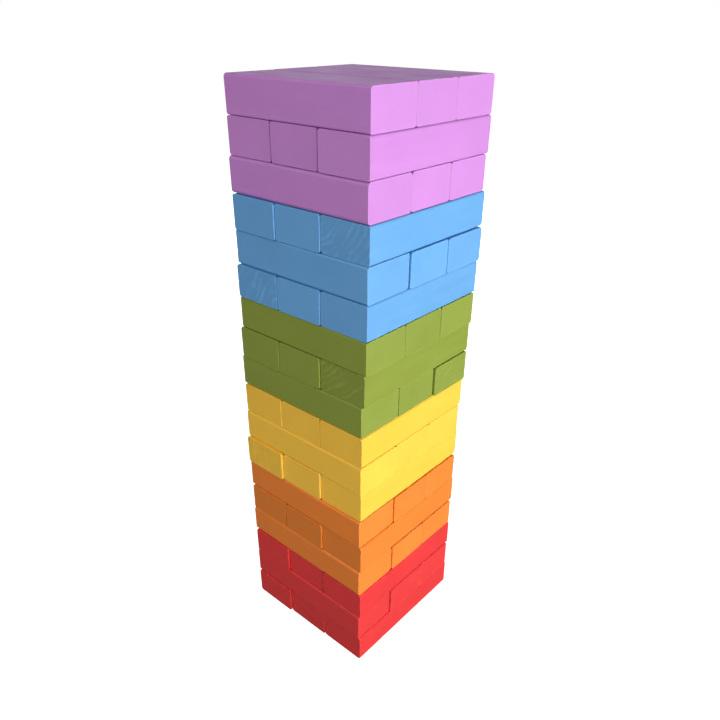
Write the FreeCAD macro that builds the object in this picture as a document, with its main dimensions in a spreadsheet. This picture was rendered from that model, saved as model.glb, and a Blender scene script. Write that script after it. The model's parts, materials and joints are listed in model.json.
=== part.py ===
import FreeCAD, Part

# Giant tumbling tower: wooden blocks stacked three to a level, each level turned a quarter turn from
# the one below it. Every block is a loose piece, planed from one softwood bar, with its four long
# edges rounded over and the edges of its two sawn ends only just eased.
#
# Frame: millimetres, +Z up, the ground at z = 0. The origin is the middle of the stack's footprint.
# Odd levels run along Y and their blocks are called left, middle and right, from -X to +X.
# Even levels run along X and their blocks are called front, middle and back, from -Y to +Y.

import os
import Sketcher

DRIVING_SIZES = (
    ("block_length", 190.0),
    ("block_width", 63.0),
    ("block_thickness", 38.0),
    ("long_edge_radius", 2.5),
    ("end_edge_ease", 0.3),
    ("gap_between_levels", 0.3),
)

# One line for each level, from the ground up: its paint, how far each of its three blocks has crept
# along its own length, how far its middle block sits to one side, and the gaps that its first and
# last blocks leave to the middle one. A stack built by hand is never quite true, so the creeps are a
# few millimetres each and the gaps run from next to nothing up to a millimetre.
LEVELS = (
    ("red", (-3.0, -1.0, -0.5), -3.0, (0.80, 0.80)),
    ("red", (-4.0, -2.5, -2.5), -2.0, (0.50, 0.15)),
    ("red", (-2.5, 0.0, -1.0), -3.0, (0.80, 1.00)),
    ("orange", (-4.0, -2.5, -2.5), -2.0, (0.45, 0.20)),
    ("orange", (-2.0, -2.0, 0.0), -3.0, (0.80, 0.60)),
    ("orange", (-4.5, -3.0, -3.0), -1.0, (0.50, 0.20)),
    ("yellow", (-3.0, -0.5, 1.5), -4.5, (0.50, 0.50)),
    ("yellow", (-3.5, -4.0, -4.0), -0.5, (0.25, 0.20)),
    ("yellow", (0.0, 0.5, 0.5), -3.0, (0.45, 0.45)),
    ("green", (-4.0, -3.5, -0.5), 0.5, (0.25, 0.60)),
    ("green", (-0.5, 0.0, 1.5), -1.0, (0.50, 0.60)),
    ("green", (2.0, 2.0, 2.5), 0.0, (0.30, 0.15)),
    ("blue", (-1.0, -0.5, 0.5), 2.5, (0.60, 0.60)),
    ("blue", (2.0, 4.0, 4.5), 1.5, (0.60, 0.15)),
    ("blue", (0.0, 1.5, 2.5), 3.0, (0.50, 0.50)),
    ("purple", (1.0, 1.0, 1.0), 1.5, (0.15, 0.15)),
    ("purple", (3.0, 2.5, 2.0), 2.0, (0.90, 0.90)),
    ("purple", (1.5, 2.0, 2.0), 3.0, (0.15, 0.15)),
)

ALONG_Y_NAMES = ("left", "middle", "right")
ALONG_X_NAMES = ("front", "middle", "back")
LANES = (-1, 0, 1)
NO_GAP = 0.0
QUARTER_TURN = 90.0
SAME_DIRECTION = 0.999


def runs_along_y(level):
    """Odd levels, the ground level among them, run along Y."""
    return level % 2 == 1


def lane_names(level):
    """The names of a level's three blocks, in lane order."""
    return ALONG_Y_NAMES if runs_along_y(level) else ALONG_X_NAMES


def slip_alias(level, place):
    return f"level_{level:02d}_slip_{place}"


def shift_alias(level):
    return f"level_{level:02d}_sideways"


def gap_alias(level, place):
    return f"level_{level:02d}_gap_{place}"


def make_sheet(doc):
    """The spreadsheet that holds the driving sizes and where each block sits in the stack."""
    cells = list(DRIVING_SIZES)
    for level, (_paint, slips, sideways, (first_gap, last_gap)) in enumerate(LEVELS, start=1):
        places = lane_names(level)
        for place, slip in zip(places, slips):
            cells.append((slip_alias(level, place), slip))
        cells.append((shift_alias(level), sideways))
        for place, gap in zip(places, (first_gap, NO_GAP, last_gap)):
            cells.append((gap_alias(level, place), gap))
    sheet = doc.addObject("Spreadsheet::Sheet", "Sizes")
    for row, (alias, value) in enumerate(cells, start=1):
        sheet.set(f"A{row}", alias)
        sheet.set(f"B{row}", str(value))
        sheet.setAlias(f"B{row}", alias)
    doc.recompute()
    return sheet


def origin_plane(body, role):
    """One of the body's own three origin planes."""
    for feature in body.Origin.OriginFeatures:
        if feature.Role == role:
            return feature
    raise RuntimeError(f"{body.Label} has no origin plane {role}")


def draw_section(body, name, sheet):
    """The bar's rectangle across its length: centred sideways, its underside on the ground line."""
    section = body.newObject("Sketcher::SketchObject", name)
    section.AttachmentSupport = [(origin_plane(body, "YZ_Plane"), "")]
    section.MapMode = "FlatFace"
    half_width = sheet.block_width / 2
    top = sheet.block_thickness
    corners = [
        FreeCAD.Vector(-half_width, 0, 0),
        FreeCAD.Vector(half_width, 0, 0),
        FreeCAD.Vector(half_width, top, 0),
        FreeCAD.Vector(-half_width, top, 0),
    ]
    for start, end in zip(corners, corners[1:] + corners[:1]):
        section.addGeometry(Part.LineSegment(start, end), False)
    first_point, last_point = 1, 2
    horizontal_axis, vertical_axis = -1, -2
    underside, right_side, upper_side, left_side = range(4)
    for line, following in ((0, 1), (1, 2), (2, 3), (3, 0)):
        section.addConstraint(Sketcher.Constraint("Coincident", line, last_point, following, first_point))
    section.addConstraint(Sketcher.Constraint("Horizontal", upper_side))
    for line in (right_side, left_side):
        section.addConstraint(Sketcher.Constraint("Vertical", line))
    section.addConstraint(
        Sketcher.Constraint(
            "Symmetric", underside, first_point, underside, last_point, vertical_axis
        )
    )
    section.addConstraint(
        Sketcher.Constraint("PointOnObject", underside, first_point, horizontal_axis)
    )
    width = section.addConstraint(
        Sketcher.Constraint("DistanceX", underside, first_point, underside, last_point, 2 * half_width)
    )
    section.renameConstraint(width, "width")
    section.setExpression("Constraints.width", "Sizes.block_width")
    thickness = section.addConstraint(
        Sketcher.Constraint("DistanceY", right_side, first_point, right_side, last_point, top)
    )
    section.renameConstraint(thickness, "thickness")
    section.setExpression("Constraints.thickness", "Sizes.block_thickness")
    return section


def long_edges(shape):
    """The names of the straight edges that run the block's whole length."""
    names = []
    for number, edge in enumerate(shape.Edges, start=1):
        direction = edge.tangentAt(edge.FirstParameter)
        if abs(direction.x) > SAME_DIRECTION:
            names.append(f"Edge{number}")
    return names


def end_edges(shape):
    """The names of the edges round the block's two flat ends."""
    names = []
    for number, edge in enumerate(shape.Edges, start=1):
        ends = [vertex.X for vertex in edge.Vertexes]
        if max(ends) - min(ends) < Part.Precision.confusion():
            names.append(f"Edge{number}")
    return names


def make_block(doc, sheet, label):
    """One block in its own frame: length along X, centred, with its underside at z = 0."""
    body = doc.addObject("PartDesign::Body", label)
    body.Label = label
    section = draw_section(body, f"{label}_section", sheet)
    bar = body.newObject("PartDesign::Pad", f"{label}_bar")
    bar.Profile = section
    bar.SideType = "Symmetric"
    bar.setExpression("Length", "Sizes.block_length")
    doc.recompute()
    rounded = body.newObject("PartDesign::Fillet", f"{label}_long_edges")
    rounded.Base = (bar, long_edges(bar.Shape))
    rounded.setExpression("Radius", "Sizes.long_edge_radius")
    doc.recompute()
    eased = body.newObject("PartDesign::Chamfer", f"{label}_end_edges")
    eased.Base = (rounded, end_edges(rounded.Shape))
    eased.setExpression("Size", "Sizes.end_edge_ease")
    return body


def place_block(body, level, lane, place):
    """Turns the block to its level's direction and sets it down in its lane."""
    slip = f"Sizes.{slip_alias(level, place)}"
    pitch = f"(Sizes.block_width + Sizes.{gap_alias(level, place)})"
    across = f"{lane} * {pitch} + Sizes.{shift_alias(level)}"
    height = f"{level - 1} * (Sizes.block_thickness + Sizes.gap_between_levels)"
    if runs_along_y(level):
        body.Placement.Rotation = FreeCAD.Rotation(FreeCAD.Vector(0, 0, 1), QUARTER_TURN)
        body.setExpression("Placement.Base.x", across)
        body.setExpression("Placement.Base.y", slip)
    else:
        body.setExpression("Placement.Base.x", slip)
        body.setExpression("Placement.Base.y", across)
    body.setExpression("Placement.Base.z", height)


def build_tower(doc, sheet):
    """All the blocks, level by level from the ground."""
    blocks = []
    for level, (paint, _slips, _sideways, _gaps) in enumerate(LEVELS, start=1):
        for lane, place in zip(LANES, lane_names(level)):
            body = make_block(doc, sheet, f"level_{level:02d}_{paint}_{place}")
            place_block(body, level, lane, place)
            blocks.append(body)
    doc.recompute()
    return blocks


def check_document(doc, blocks):
    """Stops if any feature has failed or any block isn't one valid solid."""
    for item in doc.Objects:
        if "Invalid" in item.State or "Error" in item.State:
            raise RuntimeError(f"{item.Name} did not build: {item.State}")
    for body in blocks:
        shape = body.Shape
        if shape.isNull() or not shape.isValid() or len(shape.Solids) != 1:
            raise RuntimeError(f"{body.Label} is not one valid solid")


def main():
    doc = FreeCAD.newDocument("TumblingTower")
    sheet = make_sheet(doc)
    blocks = build_tower(doc, sheet)
    check_document(doc, blocks)
    os.makedirs("parts", exist_ok=True)
    for body in blocks:
        body.Shape.exportStep(f"parts/{body.Label}.step")
    box = blocks[0].Shape.BoundBox
    for body in blocks[1:]:
        box.add(body.Shape.BoundBox)
    print(f"{len(blocks)} blocks, x {box.XMin:.2f} to {box.XMax:.2f}, y {box.YMin:.2f} to {box.YMax:.2f}, "
          f"z {box.ZMin:.2f} to {box.ZMax:.2f}, each {blocks[0].Shape.Volume:.0f} mm3")


main()
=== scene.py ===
"""A giant tumbling tower: fifty-four wooden blocks in six paints, stacked three to a level.

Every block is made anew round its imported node: sawn a little out of square, rounded over along its
long edges, eased round its ends and bruised by play, then painted so that the wood's grain still
shows through. Lengths are in metres. A block's own axes are x along it, y across it and z up.
"""

import json
import math
import random
from typing import NamedTuple

import bmesh
import bpy
from bpy.props import FloatProperty, FloatVectorProperty, IntProperty, PointerProperty
from mathutils import Matrix, Vector, noise


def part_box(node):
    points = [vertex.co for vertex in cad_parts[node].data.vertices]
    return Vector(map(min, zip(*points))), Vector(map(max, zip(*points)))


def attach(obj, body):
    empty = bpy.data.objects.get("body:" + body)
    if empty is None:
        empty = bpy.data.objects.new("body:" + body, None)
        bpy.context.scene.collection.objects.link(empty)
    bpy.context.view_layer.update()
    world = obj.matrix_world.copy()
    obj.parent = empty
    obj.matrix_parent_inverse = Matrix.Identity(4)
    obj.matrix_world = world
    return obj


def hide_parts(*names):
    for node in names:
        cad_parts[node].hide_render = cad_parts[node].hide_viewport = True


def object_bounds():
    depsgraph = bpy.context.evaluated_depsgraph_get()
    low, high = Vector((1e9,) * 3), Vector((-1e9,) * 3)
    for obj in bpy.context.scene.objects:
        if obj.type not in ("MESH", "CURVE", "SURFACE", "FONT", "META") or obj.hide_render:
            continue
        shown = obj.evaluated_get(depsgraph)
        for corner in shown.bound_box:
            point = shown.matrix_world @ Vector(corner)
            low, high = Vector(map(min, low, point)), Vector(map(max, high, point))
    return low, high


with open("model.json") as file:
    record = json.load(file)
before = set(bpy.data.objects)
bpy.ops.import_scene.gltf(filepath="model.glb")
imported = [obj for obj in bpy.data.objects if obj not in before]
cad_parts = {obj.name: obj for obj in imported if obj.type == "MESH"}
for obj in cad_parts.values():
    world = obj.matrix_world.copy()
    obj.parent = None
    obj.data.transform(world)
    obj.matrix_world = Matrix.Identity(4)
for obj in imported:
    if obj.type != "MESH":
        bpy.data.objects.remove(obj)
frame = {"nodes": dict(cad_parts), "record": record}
CAD_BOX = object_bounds()

bl_info = {
    "name": "Tumbling Tower",
    "version": (1, 0, 0),
    "blender": (4, 5, 0),
    "location": "View3D > Sidebar > Tower",
    "description": "Builds the painted wooden blocks of a giant tumbling tower and the stage they stand on",
    "category": "Add Mesh",
}

# The colours of the lights.
WHITE = (1.0, 1.0, 1.0)
WARM = (1.0, 0.985, 0.97)
COOL = (0.84, 0.90, 1.0)

BODY_OF = {
    node: body
    for body, nodes in frame["record"]["behaviour"]["bodies"].items()
    for node in nodes
}

# A block's four long edges, by the sides they lie on: across the block and up it.
CORNERS = ((-1, -1), (-1, 1), (1, -1), (1, 1))


class Grain(NamedTuple):
    """How a block lay in its log, as seen on the end that faces the front or the right."""

    bearing: float  # degrees from level round to the side that the heart of the log is on
    reach: float    # from the middle of the block to the heart of the log
    ring: float     # width of a year's growth
    show: float     # how plainly the rings show through the paint
    sink: float     # how far the paint has sunk into the ends and dulled them


# The blocks whose ends show their growth rings or have taken the paint unevenly.
MARKED_BLOCKS = {
    "level_15_blue_right": Grain(137, 0.075, 0.0062, 3.8, 0.1),
    "level_13_blue_left": Grain(-42, 0.140, 0.0090, 3.6, 0.0),
    "level_11_green_right": Grain(136, 0.120, 0.0074, 4.0, 0.1),
    "level_10_green_back": Grain(128, 0.120, 0.0062, 3.4, 0.0),
    "level_07_yellow_left": Grain(4, 0.130, 0.0042, 3.6, 0.1),
    "level_05_orange_left": Grain(70, 0.060, 0.0032, 0.8, 1.0),
    "level_05_orange_middle": Grain(130, 0.090, 0.0028, 0.6, 1.1),
    "level_05_orange_right": Grain(-60, 0.070, 0.0030, 0.7, 0.9),
    "level_01_red_left": Grain(97, 0.090, 0.0050, 3.2, 0.0),
    "level_01_red_middle": Grain(84, 0.075, 0.0048, 3.2, 0.0),
    "level_01_red_right": Grain(101, 0.110, 0.0054, 2.8, 0.1),
}

# The blocks whose long edges were rounded over more than the others'.
WELL_ROUNDED_BLOCKS = ("level_16_purple_front", "level_04_orange_front")

# The levels whose blocks were sawn square, so that their ends make one flat face.
NEAT_LEVELS = ("level_08", "level_12", "level_16", "level_18")

# The blocks that were sawn short, which brings their right-hand ends level with their neighbour's.
SHORT_BLOCKS = ("level_18_purple_middle", "level_18_purple_back")


# ---------------------------------------------------------------------------------------------
# Settings
# ---------------------------------------------------------------------------------------------


class TowerBlockSettings(bpy.types.PropertyGroup):
    """How the blocks are sawn, sanded and worn."""

    seed: IntProperty(
        name="Seed", description="Starts the chances that make each block differ", default=54, min=0
    )
    round_over: FloatProperty(
        name="Round-over", description="Radius along the long edges", default=0.0025, unit="LENGTH"
    )
    round_over_spread: FloatProperty(
        name="Round-over spread",
        description="How much the radius differs from one long edge to the next",
        default=0.0005,
        unit="LENGTH",
    )
    extra_round_over: FloatProperty(
        name="Extra round-over",
        description="Added to the radius on the well rounded blocks",
        default=0.0014,
        unit="LENGTH",
    )
    end_ease: FloatProperty(
        name="End ease", description="Radius round the two ends", default=0.00035, unit="LENGTH"
    )
    saw_slack: FloatProperty(
        name="Saw slack",
        description="How far an end may be out of square",
        default=0.0003,
        unit="LENGTH",
    )
    neat_share: FloatProperty(
        name="Neat share",
        description="How much of the ease and the slack there is on the levels that were sawn square",
        default=0.35,
        min=0.0,
        max=1.0,
    )
    shortfall: FloatProperty(
        name="Shortfall",
        description="How much too short the short blocks were sawn",
        default=0.0005,
        unit="LENGTH",
    )
    station: FloatProperty(
        name="Station", description="Spacing of the cuts along a block", default=0.005, unit="LENGTH"
    )
    dents: IntProperty(name="Dents", description="Dents along a block's edges", default=3, min=0)
    dent_depth: FloatProperty(
        name="Dent depth", description="Depth of the deepest dent", default=0.00022, unit="LENGTH"
    )
    dent_width: FloatProperty(
        name="Dent width", description="Half the length of the widest dent", default=0.008, unit="LENGTH"
    )
    bruise: FloatProperty(
        name="Bruise", description="How far a corner may be knocked in", default=0.0003, unit="LENGTH"
    )


def paint_property(name, colour):
    """A paint as a colour that the panel shows."""
    return FloatVectorProperty(
        name=name,
        description=f"The {name.lower()} paint, before any light falls on it",
        subtype="COLOR",
        min=0.0,
        max=1.0,
        default=colour,
    )


class TowerPaintSettings(bpy.types.PropertyGroup):
    """The paints and how the wood shows through them."""

    red: paint_property("Red", (0.68, 0.030, 0.031))
    orange: paint_property("Orange", (0.77, 0.203, 0.022))
    yellow: paint_property("Yellow", (0.88, 0.52, 0.05))
    green: paint_property("Green", (0.22, 0.28, 0.036))
    blue: paint_property("Blue", (0.123, 0.345, 0.66))
    purple: paint_property("Purple", (0.53, 0.222, 0.59))
    wood: paint_property("Wood", (0.66, 0.47, 0.28))
    gloss: FloatProperty(
        name="Gloss", description="0 is flat paint and 1 is polished", default=0.56, min=0.0, max=1.0
    )
    side_grain: FloatProperty(
        name="Side grain", description="Contrast of the grain on the long faces", default=0.035
    )
    end_grain: FloatProperty(
        name="End grain", description="Contrast of the growth rings on the ends", default=0.085
    )
    wear: FloatProperty(
        name="Wear", description="How much paint has rubbed off the edges", default=0.3, min=0.0, max=1.0
    )


class TowerStageSettings(bpy.types.PropertyGroup):
    """The floor, the studio lights and the camera."""

    floor_width: FloatProperty(
        name="Floor width", description="Side of the square floor", default=24.0, unit="LENGTH"
    )
    floor_colour: FloatVectorProperty(
        name="Floor colour",
        description="The pale floor",
        subtype="COLOR",
        min=0.0,
        max=1.0,
        default=(0.88, 0.88, 0.88),
    )
    window_light: FloatProperty(
        name="Window light", description="Brightness from the right, 1 lights white to white", default=1.88
    )
    front_light: FloatProperty(
        name="Front light", description="Brightness from the front, above head height", default=0.28
    )
    ceiling_light: FloatProperty(
        name="Ceiling light", description="Brightness from high on the left", default=0.24
    )
    low_light: FloatProperty(
        name="Low light", description="Brightness from the front, near the ground", default=0.07
    )
    back_light: FloatProperty(
        name="Back light", description="Brightness from behind, above head height", default=0.13
    )
    rear_light: FloatProperty(
        name="Rear light", description="Brightness from behind, no higher than the tower", default=0.5
    )
    room_light: FloatProperty(
        name="Room light", description="Even brightness from all round", default=0.10
    )
    floor_light: FloatProperty(
        name="Floor light", description="Even brightness from the floor upward", default=0.19
    )
    azimuth: FloatProperty(
        name="Azimuth",
        description="The camera's bearing from the front round to the right",
        default=math.radians(41.29),
        subtype="ANGLE",
    )
    elevation: FloatProperty(
        name="Elevation",
        description="The camera's height above the horizon",
        default=math.radians(29.50),
        subtype="ANGLE",
    )
    roll: FloatProperty(
        name="Roll", description="How far the camera leans", default=math.radians(0.37), subtype="ANGLE"
    )
    distance: FloatProperty(
        name="Distance",
        description="From the middle of the tower to the camera",
        default=0.8280,
        unit="LENGTH",
    )
    aside: FloatProperty(
        name="Aside", description="How far right of the tower's middle it aims", default=0.0045, unit="LENGTH"
    )
    rise: FloatProperty(
        name="Rise", description="How far above the tower's middle it aims", default=-0.0138, unit="LENGTH"
    )
    lens: FloatProperty(
        name="Lens", description="Focal length in millimetres", default=33.53, unit="CAMERA"
    )
    lens_rise: FloatProperty(
        name="Lens rise", description="Upward shift of the lens, as a share of the picture", default=0.045
    )


# ---------------------------------------------------------------------------------------------
# Blocks
# ---------------------------------------------------------------------------------------------

ROUND_OVER_SEGMENTS = 8
EASE_SEGMENTS = 3
DENT_CUTS = (-1, -0.66, -0.33, 0, 0.33, 0.66, 1)  # cuts across a dent, as shares of half its length
BRUISE_REACH = 1.5                                # how far a bruise runs in from an end, in round-overs
WANDER_RATE = 45                                  # waves to a metre along a wandering round-over
GRAIN_LEAN = 0.03                                 # the steepest slope of a log's heart to its block
TONE_SPREAD = 0.035                               # how much lighter or darker a block may be


def along_block(edge):
    """Whether an edge runs along its block."""
    span = edge.verts[1].co - edge.verts[0].co
    return abs(span.x) > 2 * math.hypot(span.y, span.z)


def saw_ends(block, slack, short, dice):
    """Moves the corners of both ends inward by a little, so that neither end is quite square."""
    for corner in block.verts:
        right_hand = corner.co.x > 0
        corner.co.x -= math.copysign(dice.uniform(0, slack), corner.co.x)
        if right_hand:
            corner.co.x -= short


def round_long_edges(block, size, shape, extra, dice):
    """Rounds over the four long edges, each with a radius of its own."""
    for across, up in CORNERS:
        corner = Vector((0, across * size.y / 2, up * size.z / 2))
        edges = [edge for edge in block.edges if along_block(edge)]
        nearest = min(edges, key=lambda e: ((e.verts[0].co + e.verts[1].co) / 2 - corner).yz.length)
        radius = shape.round_over + extra + dice.uniform(-1, 1) * shape.round_over_spread
        bmesh.ops.bevel(
            block,
            geom=[nearest],
            offset=radius,
            offset_type="OFFSET",
            segments=ROUND_OVER_SEGMENTS,
            profile=0.5,
            affect="EDGES",
            material=-1,
        )


def ease_ends(block, radius):
    """Takes the sharpness off the rim of both ends."""
    bmesh.ops.bevel(
        block,
        geom=[edge for edge in block.edges if not along_block(edge)],
        offset=radius,
        offset_type="OFFSET",
        segments=EASE_SEGMENTS,
        profile=0.5,
        affect="EDGES",
        material=-1,
    )


def cut_across(block, place):
    """Cuts every face that crosses the plane at this place along the block."""
    geometry = block.verts[:] + block.edges[:] + block.faces[:]
    bmesh.ops.bisect_plane(
        block, geom=geometry, dist=1e-7, plane_co=(place, 0, 0), plane_no=(1, 0, 0)
    )


def cut_stations(block, size, shape, dents):
    """Cuts the block across at even steps, and closer together at each dent."""
    reach = size.x / 2 - 2.5 * shape.end_ease
    count = round(2 * reach / shape.station)
    places = [-reach + 2 * reach * step / count for step in range(count + 1)]
    for dent in dents:
        places += [dent.place + dent.half * share for share in DENT_CUTS]
    last = -size.x
    for place in sorted(places):
        if abs(place) <= reach and place - last > shape.end_ease / 3:
            cut_across(block, place)
            last = place


class Dent(NamedTuple):
    """A knock on a long edge."""

    place: float   # along the block
    corner: tuple  # which long edge
    half: float    # half its length
    depth: float


def roll_dents(size, shape, dice):
    """Chooses where a block has been knocked."""
    reach = size.x / 2 - 2 * shape.dent_width
    return [
        Dent(
            dice.uniform(-reach, reach),
            dice.choice(CORNERS),
            shape.dent_width * dice.uniform(0.35, 1),
            shape.dent_depth * dice.uniform(0.2, 1) ** 2,
        )
        for _ in range(shape.dents)
    ]


def edge_share(point, across, up, size, radius):
    """1 on the crown of a long edge's round-over, falling to 0 where the flat faces begin."""
    gap = math.hypot(point.y - across * size.y / 2, point.z - up * size.z / 2)
    crown = radius * (math.sqrt(2) - 1)
    return max(0.0, min(1.0, 1 - (gap - crown) / (0.8 * radius)))


def wear_edges(block, size, shape, dents, dice):
    """Lets the round-overs wander, presses in the dents and knocks in the corners."""
    wander = shape.round_over_spread / 4
    bruises = {(end, *corner): shape.bruise * dice.random() ** 2 for end in (-1, 1) for corner in CORNERS}
    start = dice.uniform(0, 100)
    for vertex in block.verts:
        point = vertex.co.copy()
        across = math.copysign(1, point.y)
        up = math.copysign(1, point.z)
        share = edge_share(point, across, up, size, shape.round_over)
        if share == 0:
            continue
        along = Vector((point.x * WANDER_RATE + start, across * 9, up * 5))
        depth = wander * (0.5 + 0.5 * noise.noise(along))
        for dent in dents:
            offset = (point.x - dent.place) / dent.half
            if dent.corner == (across, up) and abs(offset) < 1:
                depth += dent.depth * (1 - offset * offset) ** 2
        vertex.co -= Vector((0, across, up)) * math.sqrt(0.5) * depth * share
        end = math.copysign(1, point.x)
        near_end = 1 - (size.x / 2 - abs(point.x)) / (BRUISE_REACH * shape.round_over)
        if near_end > 0:
            vertex.co -= Vector((end, across, up)) * bruises[end, across, up] * near_end ** 2 * share


def shape_block(node, size, shape, dice):
    """One block round the origin, lying along x."""
    extra = shape.extra_round_over if node in WELL_ROUNDED_BLOCKS else 0.0
    neat = shape.neat_share if node.startswith(NEAT_LEVELS) else 1.0
    short = shape.shortfall if node in SHORT_BLOCKS else 0.0
    block = bmesh.new()
    bmesh.ops.create_cube(block, size=1.0)
    bmesh.ops.scale(block, vec=size, verts=block.verts)
    saw_ends(block, shape.saw_slack * neat, short, dice)
    round_long_edges(block, size, shape, extra, dice)
    ease_ends(block, shape.end_ease * neat)
    dents = roll_dents(size, shape, dice)
    cut_stations(block, size, shape, dents)
    wear_edges(block, size, shape, dents, dice)
    for face in block.faces:
        face.smooth = True
    return block


def roll_grain(node, dice):
    """How a block lay in its log: as marked, or by chance."""
    chance = Grain(
        dice.uniform(0, 360),
        dice.uniform(0.05, 0.15),
        dice.uniform(0.0024, 0.0044),
        dice.uniform(0.15, 0.6),
        dice.uniform(0.0, 0.25),
    )
    return MARKED_BLOCKS.get(node, chance)


def keep_vectors(mesh, name, vectors):
    """Stores one vector for each vertex under a name that a material can read."""
    layer = mesh.attributes.new(name, "FLOAT_VECTOR", "POINT")
    layer.data.foreach_set("vector", [number for vector in vectors for number in vector])


def mark_block(mesh, grain, turned, dice):
    """Stores what the paint reads: the block's own axes, its place in the log, and its own tone."""
    bearing = math.radians(grain.bearing)
    across = grain.reach * math.cos(bearing) * (-1 if turned else 1)
    heart = Vector((0, across, grain.reach * math.sin(bearing)))
    lean = Vector((0, dice.uniform(-GRAIN_LEAN, GRAIN_LEAN), dice.uniform(-GRAIN_LEAN, GRAIN_LEAN)))
    start = Vector((dice.uniform(1, 9), dice.uniform(1, 9), dice.uniform(1, 9)))
    tone = Vector((dice.uniform(1 - TONE_SPREAD, 1 + TONE_SPREAD), grain.sink, grain.show))
    points = [vertex.co.copy() for vertex in mesh.vertices]
    keep_vectors(mesh, "block_place", points)
    keep_vectors(mesh, "log_place", [(p - heart - lean * p.x) / grain.ring for p in points])
    keep_vectors(mesh, "paint_place", [p + start for p in points])
    keep_vectors(mesh, "block_tone", [tone] * len(points))


def make_block(node, material, shape):
    """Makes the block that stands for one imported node, in the node's place."""
    low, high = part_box(node)
    extent = high - low
    turned = extent.y > extent.x
    size = Vector((max(extent.xy), min(extent.xy), extent.z))
    dice = random.Random(f"{shape.seed} {node}")
    block = shape_block(node, size, shape, dice)
    mesh = bpy.data.meshes.new(node + "_block")
    block.to_mesh(mesh)
    block.free()
    mark_block(mesh, roll_grain(node, dice), turned, dice)
    turn = Matrix.Rotation(math.pi / 2 if turned else 0, 4, "Z")
    mesh.transform(Matrix.Translation((low + high) / 2) @ turn)
    mesh.materials.append(material)
    piece = bpy.data.objects.new(node + "_block", mesh)
    bpy.context.scene.collection.objects.link(piece)
    normals = piece.modifiers.new("Even normals", "WEIGHTED_NORMAL")
    normals.mode = "FACE_AREA"
    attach(piece, BODY_OF[node])
    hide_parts(node)
    return piece


def make_blocks(context, paint):
    """Makes every block of one paint."""
    nodes = sorted(node for node in frame["nodes"] if paint in node.split("_"))
    if not nodes:
        raise RuntimeError(f"the packed tower has no {paint} blocks")
    settings = context.scene.tower_paints
    material = painted_wood(paint, getattr(settings, paint), settings)
    for node in nodes:
        make_block(node, material, context.scene.tower_blocks)
    return {"FINISHED"}


# ---------------------------------------------------------------------------------------------
# Finishes
# ---------------------------------------------------------------------------------------------

# How fine each pattern is, as features to a metre: along a block, across it and up it.
RING_WANDER = (7, 34, 34)
RING_PATCHES = (14, 55, 55)
FIBRES = (45, 1300, 1300)
STREAKS = (5, 170, 170)
BLOTCHES = (22, 30, 30)
PEEL = (420, 420, 420)
BREAKUP = (120, 260, 260)
SCUFFS = (26, 210, 210)

END_DEPTH = (0.0004, 0.0016)     # where an end's look starts to give way to the long faces', and has
EDGE_WEAR_AND_HIGHLIGHT_DEPTH = (0.0002, 0.0022)  # where an edge's rubbed paint and painted highlight start to fade, and have
RING_WAVER = 3.4                 # how many rings' width the rings waver by
SUNK_PAINT = (0.93, 0.95, 0.9)   # what is left of a paint's red, green and blue where it has sunk in
PAINT_IOR = 1.46
RELIEF_DEPTH = 0.00011
FLOOR_GLOW = 0.93


class Wire:
    """An output of a material's node. Sums and products of wires add the Math nodes that work them out."""

    def __init__(self, finish, socket):
        self.finish = finish
        self.socket = socket

    def out(self, name):
        """Another output of the same node."""
        return Wire(self.finish, self.socket.node.outputs[name])

    def math(self, operation, *values, clamp=False):
        """A Math node with this wire as its first value."""
        return self.finish.math(operation, self, *values, clamp=clamp)

    def __add__(self, other):
        return self.math("ADD", other)

    def __sub__(self, other):
        return self.math("SUBTRACT", other)

    def __rsub__(self, other):
        return self.finish.math("SUBTRACT", other, self)

    def __mul__(self, other):
        return self.math("MULTIPLY", other)

    def __pow__(self, other):
        return self.math("POWER", other)

    def __abs__(self):
        return self.math("ABSOLUTE")

    __radd__ = __add__
    __rmul__ = __mul__


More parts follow.
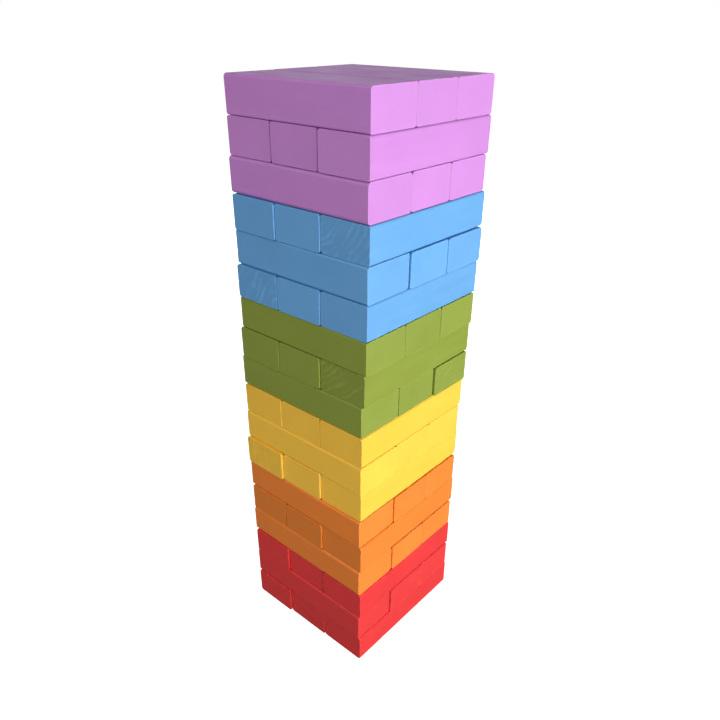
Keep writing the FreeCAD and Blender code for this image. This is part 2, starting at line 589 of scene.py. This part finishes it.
class Finish:
    """The nodes of a material, or of the room's glow."""

    def __init__(self, owner):
        owner.use_nodes = True
        self.tree = owner.node_tree
        self.tree.nodes.clear()

    def node(self, kind, settings=None, inputs=None, output=0):
        """Adds a node, sets its settings, then sets or links its sockets, and gives back one output."""
        made = self.tree.nodes.new(kind)
        for name, value in (settings or {}).items():
            setattr(made, name, value)
        for name, value in (inputs or {}).items():
            if isinstance(value, Wire):
                self.tree.links.new(value.socket, made.inputs[name])
            else:
                made.inputs[name].default_value = value
        return Wire(self, made.outputs[output]) if made.outputs else None

    def math(self, operation, *values, clamp=False):
        """A Math node."""
        settings = {"operation": operation, "use_clamp": clamp}
        return self.node("ShaderNodeMath", settings, dict(enumerate(values)))

    def stored(self, name):
        """A vector that the block's mesh stores."""
        settings = {"attribute_type": "GEOMETRY", "attribute_name": name}
        return self.node("ShaderNodeAttribute", settings, output="Vector")

    def axes(self, vector):
        """The three parts of a vector."""
        parts = self.node("ShaderNodeSeparateXYZ", None, {0: vector})
        return parts, parts.out("Y"), parts.out("Z")

    def stretch(self, vector, factors):
        """A vector with each part multiplied."""
        return self.node("ShaderNodeVectorMath", {"operation": "MULTIPLY"}, {0: vector, 1: factors})

    def cloud(self, vector, detail=2.0, rough=0.5):
        """Soft noise from 0 to 1, with features about one unit across."""
        inputs = {"Vector": vector, "Scale": 1.0, "Detail": detail, "Roughness": rough}
        return self.node("ShaderNodeTexNoise", {"noise_dimensions": "3D"}, inputs)

    def fade(self, value, start, stop):
        """0 up to start, 1 from stop on, and a soft rise between them."""
        settings = {"interpolation_type": "SMOOTHSTEP"}
        return self.node("ShaderNodeMapRange", settings, {0: value, 1: start, 2: stop})

    def blend(self, factor, first, second):
        """One colour fading into another."""
        inputs = {0: factor, 6: first, 7: second}
        return self.node("ShaderNodeMix", {"data_type": "RGBA"}, inputs, output=2)

    def brighten(self, colour, factor):
        """A colour made brighter or darker, with its hue kept."""
        return self.node("ShaderNodeVectorMath", {"operation": "SCALE"}, {0: colour, "Scale": factor})


def near_edge(finish, place, size):
    """How far a point on a block is from the nearest edge, from its distance inside each pair of faces."""
    x, y, z = (half - abs(axis) for axis, half in zip(finish.axes(place), size / 2))
    nearer = x.math("MINIMUM", y)
    farther = x.math("MAXIMUM", y)
    return nearer.math("MAXIMUM", farther.math("MINIMUM", z)), x


def growth_rings(finish, log_place, paint_place):
    """The dark late wood of each year's ring, and how strongly each year shows, from 0 to 1."""
    _, across, up = finish.axes(log_place)
    wander = finish.cloud(finish.stretch(paint_place, RING_WANDER), detail=3.0)
    years = (across * across + up * up) ** 0.5 + RING_WAVER * wander
    year = years.math("FLOOR")
    through = years.math("FRACT")
    late = finish.fade(through, 0.3, 0.88) * (1 - finish.fade(through, 0.93, 1.0))
    strength = finish.node("ShaderNodeTexWhiteNoise", {"noise_dimensions": "1D"}, {"W": year})
    patches = finish.fade(finish.cloud(finish.stretch(paint_place, RING_PATCHES), detail=3.0), 0.36, 0.62)
    return late * (0.2 + 0.8 * strength) * (0.15 + 0.85 * patches)


def painted_wood(paint, colour, settings):
    """Satin paint brushed thinly on planed wood: rings on the ends, fibres along the faces, rubbed edges with
    a painted highlight.
    """
    material = bpy.data.materials.new("painted_wood_" + paint)
    finish = Finish(material)
    low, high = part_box("level_02_red_middle")
    size = high - low  # every block's, seen along its own axes
    block_place = finish.stored("block_place")
    paint_place = finish.stored("paint_place")
    value, sink, show = finish.axes(finish.stored("block_tone"))

    edge, end = near_edge(finish, block_place, size)
    ends = 1 - finish.fade(end, *END_DEPTH)
    rings = growth_rings(finish, finish.stored("log_place"), paint_place)
    fibres = finish.cloud(finish.stretch(paint_place, FIBRES), detail=3.0, rough=0.6)
    streaks = finish.cloud(finish.stretch(paint_place, STREAKS), detail=3.0)
    blotches = finish.cloud(finish.stretch(paint_place, BLOTCHES), detail=4.0, rough=0.55)
    peel = finish.cloud(finish.stretch(paint_place, PEEL), detail=1.0)
    breakup = finish.cloud(finish.stretch(paint_place, BREAKUP), detail=4.0, rough=0.65)
    rubs = finish.cloud(finish.stretch(paint_place, SCUFFS), detail=5.0, rough=0.7)
    scuffs = finish.fade(rubs, 0.66, 0.74)

    ring_depth = settings.side_grain * (1 - ends) + settings.end_grain * show * ends
    # Near every edge: where the paint rubs through to the wood, and where a painted highlight lightens the
    # paint.
    edge_wear_and_highlight = 1 - finish.fade(edge, *EDGE_WEAR_AND_HIGHLIGHT_DEPTH)
    bare = edge_wear_and_highlight * finish.fade(breakup, 0.56, 0.68) * settings.wear
    shade = (
        value
        + (rings - 0.3) * ring_depth
        + (fibres - 0.5) * 0.05
        + (streaks - 0.5) * 0.07 * (1 - 0.6 * ends)
        + (blotches - 0.5) * 0.10
        # painted highlight: the paint a little lighter along every edge, standing in for the light its
        # round-over catches
        + edge_wear_and_highlight * 0.03
        - scuffs * 0.035
    )
    paint_colour = (*colour, 1.0)
    sunk_colour = tuple(part * share for part, share in zip(colour, SUNK_PAINT)) + (1.0,)
    coat = finish.blend(ends * sink, paint_colour, sunk_colour)
    worn = finish.blend(bare, finish.brighten(coat, shade), (*settings.wood, 1.0))

    flat = 1.0 - settings.gloss
    roughness = (
        flat
        + (blotches - 0.5) * 0.5
        + (streaks - 0.5) * 0.4
        + (fibres - 0.5) * 0.1
        + ends * 0.15
        + bare * 0.3
        - scuffs * 0.05
    )
    relief = rings * (0.2 + 0.35 * show * ends) + fibres * 0.45 + streaks * 0.5 + peel * 0.3 - bare * 0.8
    bump = {"Strength": 1.0, "Distance": RELIEF_DEPTH, "Height": relief}
    normal = finish.node("ShaderNodeBump", None, bump)
    surface = finish.node(
        "ShaderNodeBsdfPrincipled",
        None,
        {"Base Color": worn, "Roughness": roughness, "IOR": PAINT_IOR, "Normal": normal},
    )
    finish.node("ShaderNodeOutputMaterial", None, {"Surface": surface})
    return material


def floor_paint(colour):
    """A plain pale floor that glows a little, so that only soft shadows show on it."""
    material = bpy.data.materials.new("pale_floor")
    finish = Finish(material)
    mottle = finish.cloud(finish.node("ShaderNodeTexCoord", output="Object"), detail=3.0)
    surface = finish.node(
        "ShaderNodeBsdfPrincipled",
        None,
        {
            "Base Color": (*colour, 1.0),
            "Roughness": 0.85 + 0.1 * mottle,
            "Emission Color": (*WHITE, 1.0),
            "Emission Strength": FLOOR_GLOW,
        },
    )
    finish.node("ShaderNodeOutputMaterial", None, {"Surface": surface})
    return material


# ---------------------------------------------------------------------------------------------
# Stage
# ---------------------------------------------------------------------------------------------

FLOOR_DROP = 0.0004


class Lamp(NamedTuple):
    """Where a square soft light hangs, as seen from the middle of the tower."""

    azimuth: float    # degrees from the front round to the right
    elevation: float  # degrees above level
    distance: float
    width: float
    colour: tuple


LAMPS = {
    "window_light": Lamp(84, -1, 2.6, 1.2, WHITE),
    "front_light": Lamp(-5, 35, 4.5, 1.9, WARM),
    "ceiling_light": Lamp(-41, 62, 4.0, 1.6, WARM),
    "low_light": Lamp(15, -3, 1.6, 0.5, WARM),
    "back_light": Lamp(-146, 24, 2.6, 2.2, COOL),
    "rear_light": Lamp(-142, 0, 2.6, 0.68, WARM),
}


def bearing(azimuth, elevation):
    """A direction from its bearing, measured from the front round to the right, and its height."""
    level = math.cos(elevation)
    return Vector((math.sin(azimuth) * level, -math.cos(azimuth) * level, math.sin(elevation)))


def lay_floor(stage):
    """The square floor, a hair under the blocks."""
    plane = bmesh.new()
    bmesh.ops.create_grid(plane, x_segments=1, y_segments=1, size=stage.floor_width / 2)
    bmesh.ops.translate(plane, vec=(0, 0, CAD_BOX[0].z - FLOOR_DROP), verts=plane.verts)
    mesh = bpy.data.meshes.new("floor")
    plane.to_mesh(mesh)
    plane.free()
    mesh.materials.append(floor_paint(stage.floor_colour))
    floor = bpy.data.objects.new("floor", mesh)
    bpy.context.scene.collection.objects.link(floor)
    floor.visible_diffuse = False
    floor.visible_glossy = False


def hang_light(name, lamp, aim, brightness):
    """A square soft light. Brightness 1 lights a white face that it faces to white."""
    area = bpy.data.lights.new(name, "AREA")
    area.shape = "SQUARE"
    area.size = lamp.width
    area.color = lamp.colour
    area.energy = brightness * (math.pi * lamp.distance) ** 2
    light = bpy.data.objects.new(name, area)
    direction = bearing(math.radians(lamp.azimuth), math.radians(lamp.elevation))
    turn = direction.to_track_quat("Z", "Y").to_matrix().to_4x4()
    light.matrix_world = Matrix.Translation(aim + direction * lamp.distance) @ turn
    light.visible_camera = False
    bpy.context.scene.collection.objects.link(light)


def light_room(stage):
    """A dim glow all round, stronger from the floor, behind which the camera sees plain white."""
    world = bpy.data.worlds.new("room")
    finish = Finish(world)
    direction = finish.node("ShaderNodeTexCoord", output="Generated")
    _, _, rise = finish.axes(direction)
    below = 1 - finish.fade(rise, -0.25, 0.0)
    glow = stage.room_light + (stage.floor_light - stage.room_light) * below
    white = (*WHITE, 1.0)
    dim = finish.node("ShaderNodeBackground", None, {"Color": white, "Strength": glow})
    backdrop = finish.node("ShaderNodeBackground", None, {"Color": white})
    seen = finish.node("ShaderNodeLightPath", output="Is Camera Ray")
    shown = finish.node("ShaderNodeMixShader", None, {0: seen, 1: dim, 2: backdrop})
    finish.node("ShaderNodeOutputWorld", None, {"Surface": shown})
    bpy.context.scene.world = world


def set_camera(stage, aim):
    """The camera, at the height of someone standing over the tower."""
    back = bearing(stage.azimuth, stage.elevation)
    right = bearing(stage.azimuth + math.pi / 2, 0)
    up = back.cross(right)
    place = aim + stage.distance * back + stage.aside * right + stage.rise * up
    turn = Matrix((right, up, back)).transposed().to_4x4() @ Matrix.Rotation(stage.roll, 4, "Z")
    lens = bpy.data.cameras.new("camera")
    lens.sensor_width = 36.0
    lens.lens = stage.lens
    lens.shift_y = stage.lens_rise
    lens.clip_start = 0.01
    camera = bpy.data.objects.new("camera", lens)
    camera.matrix_world = Matrix.Translation(place) @ turn
    bpy.context.scene.collection.objects.link(camera)
    bpy.context.scene.camera = camera


def set_stage(context):
    """The floor, the lights and the camera."""
    stage = context.scene.tower_stage
    aim = (CAD_BOX[0] + CAD_BOX[1]) / 2
    lay_floor(stage)
    light_room(stage)
    for name, lamp in LAMPS.items():
        hang_light(name, lamp, aim, getattr(stage, name))
    set_camera(stage, aim)
    context.scene.view_settings.view_transform = "Standard"
    return {"FINISHED"}


# ---------------------------------------------------------------------------------------------
# Operators, panel and registration
# ---------------------------------------------------------------------------------------------


class TOWER_OT_stage(bpy.types.Operator):
    """Sets out the floor, the studio lights and the camera"""

    bl_idname = "tower.stage"
    bl_label = "Set the Stage"

    def execute(self, context):
        return set_stage(context)


class TOWER_OT_red_blocks(bpy.types.Operator):
    """Makes the nine red blocks of the three lowest levels"""

    bl_idname = "tower.red_blocks"
    bl_label = "Red Blocks"

    def execute(self, context):
        return make_blocks(context, "red")


class TOWER_OT_orange_blocks(bpy.types.Operator):
    """Makes the nine orange blocks of levels four to six"""

    bl_idname = "tower.orange_blocks"
    bl_label = "Orange Blocks"

    def execute(self, context):
        return make_blocks(context, "orange")


class TOWER_OT_yellow_blocks(bpy.types.Operator):
    """Makes the nine yellow blocks of levels seven to nine"""

    bl_idname = "tower.yellow_blocks"
    bl_label = "Yellow Blocks"

    def execute(self, context):
        return make_blocks(context, "yellow")


class TOWER_OT_green_blocks(bpy.types.Operator):
    """Makes the nine green blocks of levels ten to twelve"""

    bl_idname = "tower.green_blocks"
    bl_label = "Green Blocks"

    def execute(self, context):
        return make_blocks(context, "green")


class TOWER_OT_blue_blocks(bpy.types.Operator):
    """Makes the nine blue blocks of levels thirteen to fifteen"""

    bl_idname = "tower.blue_blocks"
    bl_label = "Blue Blocks"

    def execute(self, context):
        return make_blocks(context, "blue")


class TOWER_OT_purple_blocks(bpy.types.Operator):
    """Makes the nine purple blocks of the three highest levels"""

    bl_idname = "tower.purple_blocks"
    bl_label = "Purple Blocks"

    def execute(self, context):
        return make_blocks(context, "purple")


OPERATORS = (
    TOWER_OT_stage,
    TOWER_OT_red_blocks,
    TOWER_OT_orange_blocks,
    TOWER_OT_yellow_blocks,
    TOWER_OT_green_blocks,
    TOWER_OT_blue_blocks,
    TOWER_OT_purple_blocks,
)


class TOWER_PT_panel(bpy.types.Panel):
    """Lists what makes the tower and what can be changed"""

    bl_idname = "TOWER_PT_panel"
    bl_label = "Tumbling Tower"
    bl_space_type = "VIEW_3D"
    bl_region_type = "UI"
    bl_category = "Tower"

    def draw(self, context):
        scene = context.scene
        for settings in (scene.tower_blocks, scene.tower_paints, scene.tower_stage):
            box = self.layout.box()
            for name in settings.__annotations__:
                box.prop(settings, name)
        for operator in OPERATORS:
            self.layout.operator(operator.bl_idname)


SETTINGS = {
    "tower_blocks": TowerBlockSettings,
    "tower_paints": TowerPaintSettings,
    "tower_stage": TowerStageSettings,
}
CLASSES = (*SETTINGS.values(), *OPERATORS, TOWER_PT_panel)


def register():
    """Adds the settings, the operators and the panel to Blender."""
    for each in CLASSES:
        bpy.utils.register_class(each)
    for name, group in SETTINGS.items():
        setattr(bpy.types.Scene, name, PointerProperty(type=group))


def unregister():
    """Takes them away again."""
    for name in SETTINGS:
        delattr(bpy.types.Scene, name)
    for each in reversed(CLASSES):
        bpy.utils.unregister_class(each)


def main():
    """Builds the stage and then the blocks, from the floor up."""
    register()
    bpy.ops.tower.stage()
    bpy.ops.tower.red_blocks()
    bpy.ops.tower.orange_blocks()
    bpy.ops.tower.yellow_blocks()
    bpy.ops.tower.green_blocks()
    bpy.ops.tower.blue_blocks()
    bpy.ops.tower.purple_blocks()


if __name__ == "__main__":
    main()
